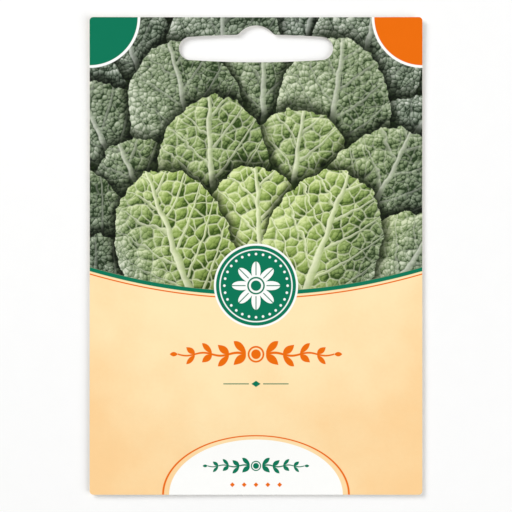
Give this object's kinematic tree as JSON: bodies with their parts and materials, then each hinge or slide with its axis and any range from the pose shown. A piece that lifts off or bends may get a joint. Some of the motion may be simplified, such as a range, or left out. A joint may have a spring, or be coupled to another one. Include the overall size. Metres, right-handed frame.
{
  "type": "seed packet",
  "caption": "Flat paper seed packet with a sealed border, a low seed pocket and a header with a large hook slot, lying on its back.",
  "frame": {"origin": "middle of the packet's outline, on the plane that its back lies on", "axes": "+X across the packet, seen from the front to the right; +Y up the packet, towards the header and its slot; +Z out of the printed front"},
  "size_m": [0.09, 0.1292, 0.0029],
  "materials": {
    "front_print": "coated paper with a satin print: crinkled leaves in soft greens over a cream panel, with green and orange ornaments",
    "back_print": "smoother matte paper with a cream print: a sowing calendar, seedlings and ruled lines in green and orange",
    "seal_film": "thin clear-white heat-seal layer",
    "seed_coat": "dry dark brown seed coat"
  },
  "bodies": {
    "root": {"front_sheet": "front_print", "back_sheet": "back_print", "seal_band": "seal_film", "seeds": "seed_coat"}
  },
  "joints": []
}
